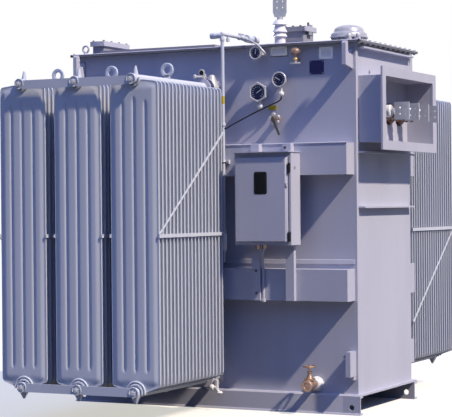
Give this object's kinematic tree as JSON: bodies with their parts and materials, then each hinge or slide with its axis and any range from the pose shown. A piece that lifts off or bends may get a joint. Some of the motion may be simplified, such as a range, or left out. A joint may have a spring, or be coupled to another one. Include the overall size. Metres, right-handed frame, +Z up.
{
  "type": "oil-filled power transformer",
  "caption": "Oil-filled power transformer with fluted panel radiators, side throat boxes, a control cabinet with a hinged door, gauges and valves, on two skid channels.",
  "frame": {"origin": "on the floor under the middle of the tank", "axes": "+Z up, +X along the wide front face to the low-voltage end, +Y from the front to the back"},
  "size_m": [2.88, 3.518, 2.991],
  "materials": {
    "tank_paint": "satin",
    "radiator_paint": "satin",
    "porcelain": "glossy",
    "tinned_terminal": "satin",
    "brass": "worn",
    "polished_steel": "polished",
    "gauge_black": "satin",
    "cable_rubber": "matte",
    "bare_steel": "satin"
  },
  "bodies": {
    "transformer": {"skid_front": "tank_paint", "skid_back": "tank_paint", "floor_plate": "tank_paint", "front_wall": "tank_paint", "back_wall": "tank_paint", "left_wall": "tank_paint", "right_wall": "tank_paint", "tank_cover": "tank_paint", "front_bands": "tank_paint", "back_bands": "tank_paint", "end_ribs": "tank_paint", "lifting_hooks": "tank_paint", "jacking_brackets": "tank_paint", "front_panels_1": "radiator_paint", "front_panels_2": "radiator_paint", "front_panels_3": "radiator_paint", "back_panels_1": "radiator_paint", "back_panels_2": "radiator_paint", "back_panels_3": "radiator_paint", "front_headers": "radiator_paint", "back_headers": "radiator_paint", "front_valves": "tank_paint", "back_valves": "tank_paint", "tie_bars": "radiator_paint", "stack_bars": "radiator_paint", "braces": "radiator_paint", "header_eyes": "radiator_paint", "lv_throat": "tank_paint", "lv_bushings": "porcelain", "lv_spades": "tinned_terminal", "hv_throat": "tank_paint", "hv_bushings": "porcelain", "cabinet_body": "tank_paint", "cabinet_hood": "tank_paint", "cabinet_straps": "tank_paint", "gauges": "gauge_black", "gauge_cable": "cable_rubber", "brass_valve": "brass", "small_valve": "brass", "drain_valve": "brass", "neutral_bushing": "porcelain", "neutral_spade": "tinned_terminal", "hand_holes": "tank_paint", "relief_dome": "polished_steel", "vent_pipe": "radiator_paint", "cover_eye": "tank_paint"},
    "cabinet_door_body": {"cabinet_door": "tank_paint"},
    "valve_lever_body": {"valve_lever": "bare_steel"},
    "drain_handwheel_body": {"drain_handwheel": "brass"}
  },
  "joints": [
    {"name": "cabinet_door_hinge", "type": "hinge", "parent": "transformer", "child": "cabinet_door_body", "pos_m": [0.345, -0.828, 1.516], "axis": [0, 0, -1], "range_deg": [0, 100]},
    {"name": "valve_lever_turn", "type": "hinge", "parent": "transformer", "child": "valve_lever_body", "pos_m": [0.524, -0.595, 2.086], "axis": [0, -1, 0], "range_deg": [0, 90]},
    {"name": "drain_wheel_turn", "type": "hinge", "parent": "transformer", "child": "drain_handwheel_body", "pos_m": [0.815, -0.653, 0.338], "axis": [0, 0, 1], "range_deg": [0, 1440]}
  ]
}
